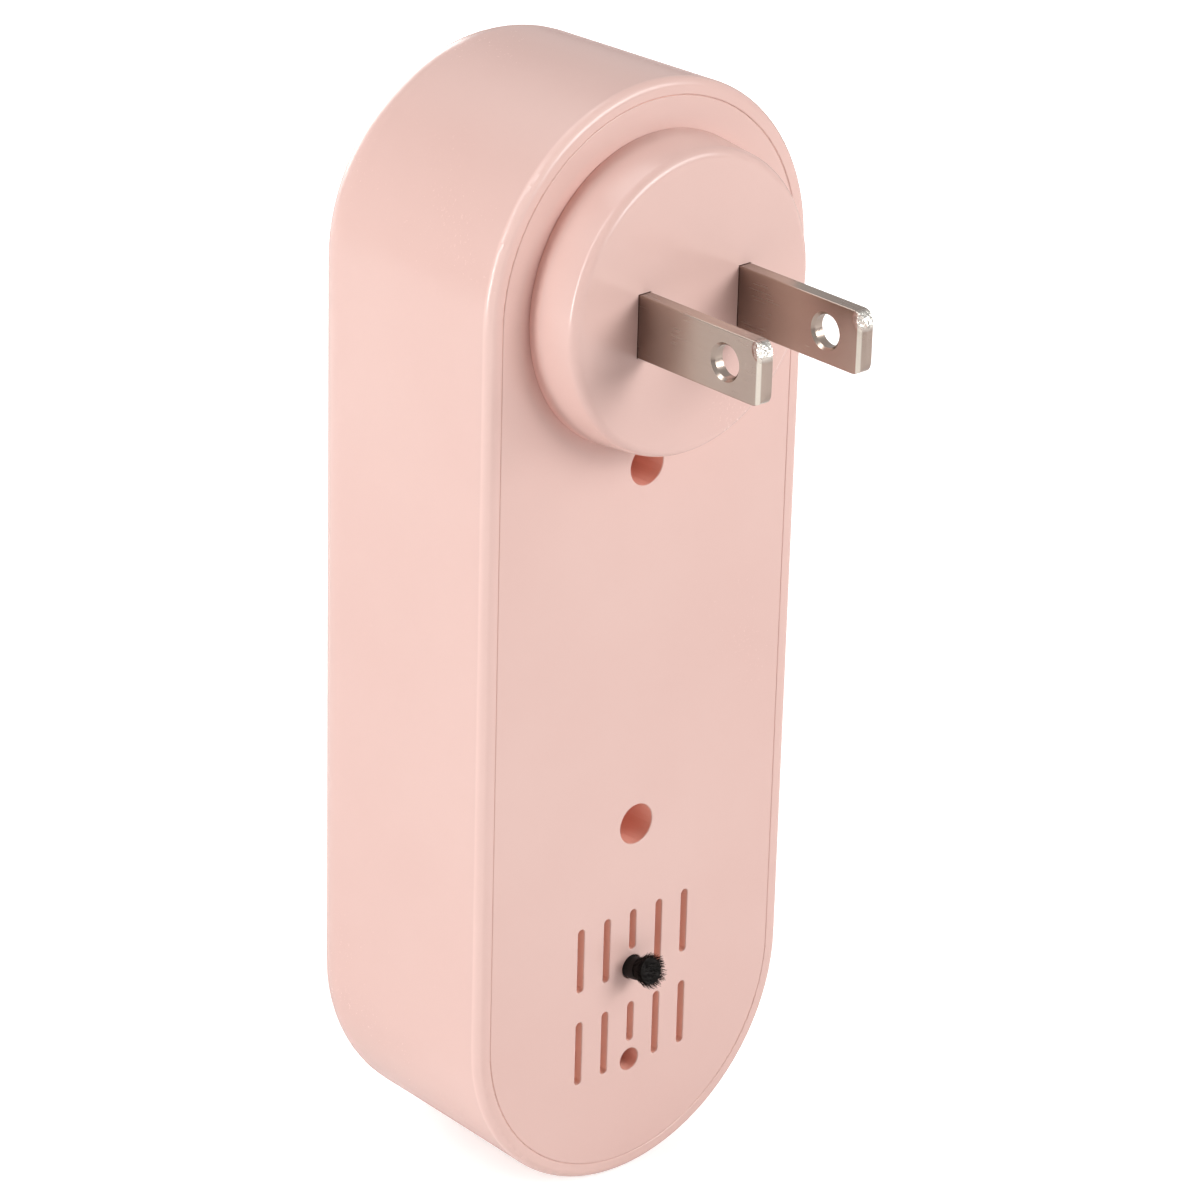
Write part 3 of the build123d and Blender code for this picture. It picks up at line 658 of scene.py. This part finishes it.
def make_tuft():
    """Flared tuft of cut carbon fibres round a dark core, with a few strays."""
    draw = random.Random(7)
    fibre = fibre_mesh()
    bm = bmesh.new()
    for _ in range(FIBRE_COUNT):
        angle = draw.uniform(0, math.tau)
        spread = math.sqrt(draw.random())
        stray = draw.random() < STRAY_SHARE
        side = Vector((math.cos(angle), math.sin(angle), 0))
        root = side * spread * (TUFT_ROOT_RADIUS - FIBRE_RADIUS)
        reach = spread * TUFT_SPREAD * draw.uniform(0.84, 1.0) + (STRAY_REACH if stray else 0)
        wander = Vector((draw.gauss(0, FIBRE_WANDER), draw.gauss(0, FIBRE_WANDER), 0))
        length = TUFT_LENGTH * draw.uniform(0.82, 0.98) - TUFT_EDGE_DROP * spread
        bow = draw.uniform(0.8, 1.5)
        bm.from_mesh(fibre)
        bm.verts.ensure_lookup_table()
        for vert in bm.verts[-len(fibre.vertices):]:
            share = vert.co.z
            middle = root.lerp(side * reach, share ** bow) + wander * share ** 2
            vert.co = middle + Vector((vert.co.x, vert.co.y, 0)) * FIBRE_RADIUS
            vert.co.z = share * length
    add_tuft_core(bm)
    turn = TUFT_LEAN.to_track_quat("Z", "Y").to_matrix().to_4x4()
    bmesh.ops.transform(bm, matrix=Matrix.Translation(tuft_root()) @ turn, verts=bm.verts)
    add_piece("carbon_tuft", bm, carbon_fibre(), "carbon_brush")


def add_tuft_core(bm):
    """Plain cone in the middle, so that no light shows through the fibres."""
    core = bmesh.ops.create_cone(bm, cap_ends=True, segments=24, radius1=TUFT_ROOT_RADIUS * 0.9,
                                 radius2=TUFT_TIP_RADIUS * 0.72, depth=TUFT_LENGTH * 0.75)
    bmesh.ops.translate(bm, verts=core["verts"], vec=(0, 0, TUFT_LENGTH * 0.38))


def make_brush():
    smooth_piece("brush_bent_sleeve", "brush_sleeve", sleeve_black())
    make_tuft()


# ---------------------------------------------------------------- front: dust mesh, lens and lamp

MESH_PITCH = 0.6 * MM
THREAD_SIZE = 0.16 * MM
THREAD_WAVE = 0.04 * MM


def dust_cloth():
    return moulded("dust_cloth", (0.02, 0.02, 0.022), (0.045, 0.045, 0.045), gloss=(0.5, 0.75),
                   grain=9000.0, relief=0.004)


def lens_frosted():
    """Milky lens that hides the lamp behind it and spreads its light."""
    return moulded("lens_frosted", (0.9, 0.92, 0.93), (0.84, 0.87, 0.89), gloss=(0.1, 0.2), grain=1200.0,
                   shader={"Transmission Weight": 0.35, "IOR": 1.49})


def lamp_clear():
    """Water-clear lamp with a little haze moulded in."""
    return moulded("lamp_clear", (0.86, 0.9, 0.92), (0.8, 0.85, 0.88), gloss=(0.12, 0.25), grain=1500.0,
                   shader={"Transmission Weight": 0.7, "IOR": 1.5})


def make_dust_mesh():
    """Woven cloth behind the grille: threads that pass over and under each other."""
    low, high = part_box("grille_mesh")
    radius = high.x - THREAD_SIZE
    cells = round(2 * high.x / MESH_PITCH)
    bm = bmesh.new()
    bmesh.ops.create_grid(bm, x_segments=cells, y_segments=cells, size=high.x)
    outside = [vert for vert in bm.verts if vert.co.length > radius]
    bmesh.ops.delete(bm, geom=outside, context="VERTS")
    for vert in bm.verts:
        column = round((vert.co.x + high.x) / MESH_PITCH)
        row = round((vert.co.y + high.x) / MESH_PITCH)
        vert.co.z = THREAD_WAVE if (column + row) % 2 else -THREAD_WAVE
    bmesh.ops.wireframe(bm, faces=bm.faces, thickness=THREAD_SIZE, use_replace=True, use_boundary=True,
                        use_even_offset=True)
    turn = Matrix.Rotation(QUARTER_TURN, 4, "X")
    bmesh.ops.transform(bm, matrix=Matrix.Translation((0, (low.y + high.y) / 2, 0)) @ turn, verts=bm.verts)
    bmesh.ops.recalc_face_normals(bm, faces=bm.faces)
    add_piece("dust_mesh", bm, dust_cloth(), "grille_mesh")


def make_front():
    make_dust_mesh()
    smooth_piece("lamp_lens", "indicator_lens", lens_frosted())
    smooth_piece("lamp_body", "indicator_lamp", lamp_clear())


# ---------------------------------------------------------------- transducer

def contact_brass():
    return brushed("contact_brass", (0.75, 0.54, 0.25), (0.66, 0.46, 0.2), (0.45, 0.3, 0.14),
                   gloss=(0.25, 0.42), streaks=(400.0, 3000.0, 3000.0), relief=0.001, tarnish=300.0)


def spun_aluminium():
    """Thin cone pressed from sheet on a turning former, which leaves fine rings."""
    material = brushed("spun_aluminium", (0.75, 0.75, 0.76), (0.66, 0.66, 0.67), (0.55, 0.55, 0.55),
                       gloss=(0.22, 0.38), streaks=(300.0, 300.0, 300.0), relief=0.0005, tarnish=200.0)
    tree = material.node_tree
    rings = put(tree, "ShaderNodeTexWave", {"Scale": 700.0, "Distortion": 1.5, "Detail": 2.0},
                wave_type="RINGS", rings_direction="Y")
    tree.links.new(object_place(tree), rings.inputs["Vector"])
    grooves = put(tree, "ShaderNodeBump", {"Strength": 0.6, "Distance": 0.01 * MM})
    join(tree, rings, "Fac", grooves, "Height")
    join(tree, grooves, "Normal", tree.nodes["Principled BSDF"], "Normal")
    return material


def soft_foam():
    """Foam with small round hollows, each with painted shade in its middle."""
    material = moulded("soft_foam", (0.035, 0.035, 0.037), (0.06, 0.06, 0.06), gloss=(0.75, 0.95),
                       grain=3000.0, relief=0.01)
    tree = material.node_tree
    cells = put(tree, "ShaderNodeTexVoronoi", {"Scale": 2200.0, "Randomness": 0.9})
    tree.links.new(object_place(tree), cells.inputs["Vector"])
    hollows = put(tree, "ShaderNodeBump", {"Strength": 0.8, "Distance": 0.08 * MM})
    tree.links.new(stretch(tree, cells.outputs["Distance"], 0.0, 0.35), hollows.inputs["Height"])
    join(tree, hollows, "Normal", tree.nodes["Principled BSDF"], "Normal")
    # Painted shade in the middle of each hollow.
    tint_where(material, stretch(tree, cells.outputs["Distance"], 0.25, 0.0), (0.01, 0.01, 0.01))
    return material


def silvered_ceramic():
    """Cream ceramic disc with a fired silver face towards the pad."""
    material = moulded("silvered_ceramic", (0.78, 0.72, 0.6), (0.7, 0.63, 0.5), gloss=(0.35, 0.5),
                       grain=4000.0, relief=0.004)
    depth = axis_value(material, "Y", (0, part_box("piezo_ceramic")[1].y, 0))
    silver = stretch(material.node_tree, depth, -0.06 * MM, -0.03 * MM)
    tint_where(material, silver, (0.6, 0.6, 0.58))
    return material


def make_transducer(black):
    foam = soft_foam()
    brass = contact_brass()
    smooth_piece("transducer_foam_ring", "transducer_seal", foam)
    smooth_piece("transducer_cup", "transducer_body", black)
    smooth_piece("transducer_lid", "transducer_cap", black)
    smooth_piece("sound_cone", "transducer_cone", spun_aluminium())
    smooth_piece("piezo_brass_disc", "piezo_plate", brass)
    smooth_piece("piezo_ceramic_disc", "piezo_ceramic", silvered_ceramic())
    smooth_piece("piezo_foam_pad", "piezo_pad", foam)
    finish_nodes(brass, "transducer_terminals")


# ---------------------------------------------------------------- circuit board

WINDING_TURNS = 12
WINDING_STEPS = 48
RIDGE_ANGLES = [math.radians(36 * step) for step in range(-2, 3)]

BAND_RED = (0.3, 0.02, 0.01)
BAND_BLACK = (0.01, 0.01, 0.01)
BAND_GOLD = (0.55, 0.33, 0.06)
BAND_HALF_WIDTH = 0.22
# Each band's centre along the resistor, in mm from its middle, and its colour.
RESISTOR_BANDS = ((-2.0, BAND_RED), (-1.1, BAND_BLACK), (-0.2, BAND_BLACK), (1.8, BAND_GOLD))


def green_board():
    """Solder mask over copper: paler tracks along the board, and small tinned pads in a loose grid."""
    material = moulded("green_board", (0.022, 0.14, 0.055), (0.018, 0.11, 0.045), gloss=(0.25, 0.4),
                       grain=5000.0)
    tree = material.node_tree
    place = object_place(tree)
    flat = put(tree, "ShaderNodeMapping", {"Rotation": (QUARTER_TURN, 0, 0)})
    tree.links.new(place, flat.inputs["Vector"])
    tracks = put(tree, "ShaderNodeTexBrick", {"Scale": 130.0, "Mortar Size": 0.03, "Mortar Smooth": 0.1,
                                              "Brick Width": 0.9, "Row Height": 0.24})
    join(tree, flat, "Vector", tracks, "Vector")
    tint_where(material, tracks.outputs["Fac"], (0.05, 0.24, 0.09))
    pads = put(tree, "ShaderNodeTexVoronoi", {"Scale": 260.0, "Randomness": 0.55})
    tree.links.new(place, pads.inputs["Vector"])
    tint_where(material, stretch(tree, pads.outputs["Distance"], 0.16, 0.14), (0.6, 0.58, 0.52))
    return material


def yellow_film():
    return moulded("yellow_film", (0.82, 0.58, 0.06), (0.74, 0.5, 0.05), gloss=(0.25, 0.4),
                   grain=1800.0, relief=0.004)


def can_sleeve():
    """Shrunk black sleeve with a pale stripe down one side; the can's bare top shows above it."""
    material = moulded("can_sleeve", (0.02, 0.02, 0.035), (0.03, 0.03, 0.045), gloss=(0.2, 0.35),
                       grain=2500.0, relief=0.003)
    tree = material.node_tree
    low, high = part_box("electrolytic_capacitor")
    across = axis_value(material, "X", (low + high) / 2)
    along = axis_value(material, "Z", (0, 0, high.z))
    tint_where(material, band(tree, across, 2.1 * MM, 3.4 * MM, 0.03 * MM), (0.6, 0.62, 0.64))
    tint_where(material, stretch(tree, along, -0.4 * MM, -0.3 * MM), (0.6, 0.6, 0.6))
    return material


def ferrite():
    return moulded("ferrite", (0.055, 0.053, 0.052), (0.085, 0.08, 0.078), gloss=(0.45, 0.65),
                   grain=2600.0, relief=0.012)


def copper_enamel():
    return brushed("copper_enamel", (0.62, 0.25, 0.1), (0.5, 0.18, 0.07), (0.4, 0.13, 0.05),
                   gloss=(0.15, 0.3), streaks=(600.0, 600.0, 600.0), relief=0.0005, tarnish=500.0)


def banded_resistor():
    """Grey-green lacquer with four painted bands."""
    material = moulded("banded_resistor", (0.22, 0.36, 0.33), (0.18, 0.3, 0.28), gloss=(0.3, 0.45),
                       grain=2200.0, relief=0.006)
    low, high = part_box("fusible_resistor")
    along = axis_value(material, "X", (low + high) / 2)
    for centre, colour in RESISTOR_BANDS:
        start = (centre - BAND_HALF_WIDTH) * MM
        end = (centre + BAND_HALF_WIDTH) * MM
        tint_where(material, band(material.node_tree, along, start, end, 0.02 * MM), colour)
    return material


def winding_profile(outer, length):
    """Section of the copper ring: flat inside, with one round ridge outside for each turn of wire."""
    wire = length / WINDING_TURNS / 2
    inner = outer - 2 * wire
    points = [Vector((inner, 0, -length / 2))]
    for turn in range(WINDING_TURNS):
        middle = -length / 2 + wire * (2 * turn + 1)
        for angle in RIDGE_ANGLES:
            points.append(Vector((outer - wire + wire * math.cos(angle), 0, middle + wire * math.sin(angle))))
    points.append(Vector((inner, 0, length / 2)))
    return points


def make_winding():
    """Copper coil on the bobbin."""
    low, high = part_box("coil_winding")
    bm = bmesh.new()
    verts = [bm.verts.new(point) for point in winding_profile((high.x - low.x) / 2, high.y - low.y)]
    profile = [bm.edges.new(pair) for pair in zip(verts, verts[1:] + verts[:1])]
    bmesh.ops.spin(bm, geom=verts + profile, cent=(0, 0, 0), axis=(0, 0, 1), angle=math.tau,
                   steps=WINDING_STEPS, use_merge=True)
    bmesh.ops.remove_doubles(bm, verts=bm.verts, dist=MERGE_DISTANCE)
    bmesh.ops.recalc_face_normals(bm, faces=bm.faces)
    turn = Matrix.Rotation(QUARTER_TURN, 4, "X")
    bmesh.ops.transform(bm, matrix=Matrix.Translation((low + high) / 2) @ turn, verts=bm.verts)
    add_piece("copper_winding", bm, copper_enamel(), "coil_winding")


def make_board(black, zinc):
    smooth_piece("circuit_board", "main_board", green_board())
    smooth_piece("board_fixing_screws", "board_screws", zinc)
    smooth_piece("smoothing_capacitor", "electrolytic_capacitor", can_sleeve())
    smooth_piece("coil_bobbin", "coil_core", ferrite())
    make_winding()
    smooth_piece("fuse_resistor", "fusible_resistor", banded_resistor())
    smooth_piece("driver_transistor_pair", "driver_transistors", black)
    finish_nodes(yellow_film(), "film_capacitor")
    finish_nodes(black, "bridge_rectifier", "controller_chip", "chip_resistors")
    finish_nodes(zinc, "chip_pins")


# ---------------------------------------------------------------- ionizer and wires

def potting_resin():
    return moulded("potting_resin", (0.012, 0.012, 0.013), (0.02, 0.02, 0.022), gloss=(0.12, 0.3),
                   grain=300.0, relief=0.05, ripple=1.0)


def wire_pvc(name, colour, drift_colour):
    return moulded(name, colour, drift_colour, gloss=(0.3, 0.45), grain=2500.0, relief=0.003)


def make_ionizer(black):
    smooth_piece("ionizer_cup", "ionizer_case", black)
    finish_nodes(potting_resin(), "ionizer_resin")


def make_wires():
    black = wire_pvc("black_wire", (0.015, 0.015, 0.015), (0.03, 0.03, 0.03))
    white = wire_pvc("white_wire", (0.78, 0.78, 0.75), (0.7, 0.7, 0.67))
    smooth_piece("live_wire", "mains_lead_live", black)
    smooth_piece("neutral_wire", "mains_lead_neutral", white)
    smooth_piece("transducer_wires", "transducer_leads", white)
    smooth_piece("ionizer_supply_wires", "ionizer_supply_leads", black)
    smooth_piece("ionizer_output_wire", "ionizer_output_lead", white)


# ---------------------------------------------------------------- the whole device

def black_plastic():
    return moulded("black_plastic", (0.022, 0.022, 0.024), (0.035, 0.034, 0.036), gloss=(0.42, 0.6),
                   relief=0.003)


def screw_zinc():
    return brushed("screw_zinc", (0.66, 0.66, 0.64), (0.5, 0.5, 0.49), (0.45, 0.43, 0.36),
                   gloss=(0.25, 0.45), streaks=(2500.0, 2500.0, 500.0), relief=0.001, tarnish=400.0)


def make_device():
    black = black_plastic()
    zinc = screw_zinc()
    make_case(zinc)
    make_plug(black, zinc)
    make_brush()
    make_front()
    make_transducer(black)
    make_board(black, zinc)
    make_ionizer(black)
    make_wires()


make_camera()
make_world()
make_lights()
make_floor()
make_device()
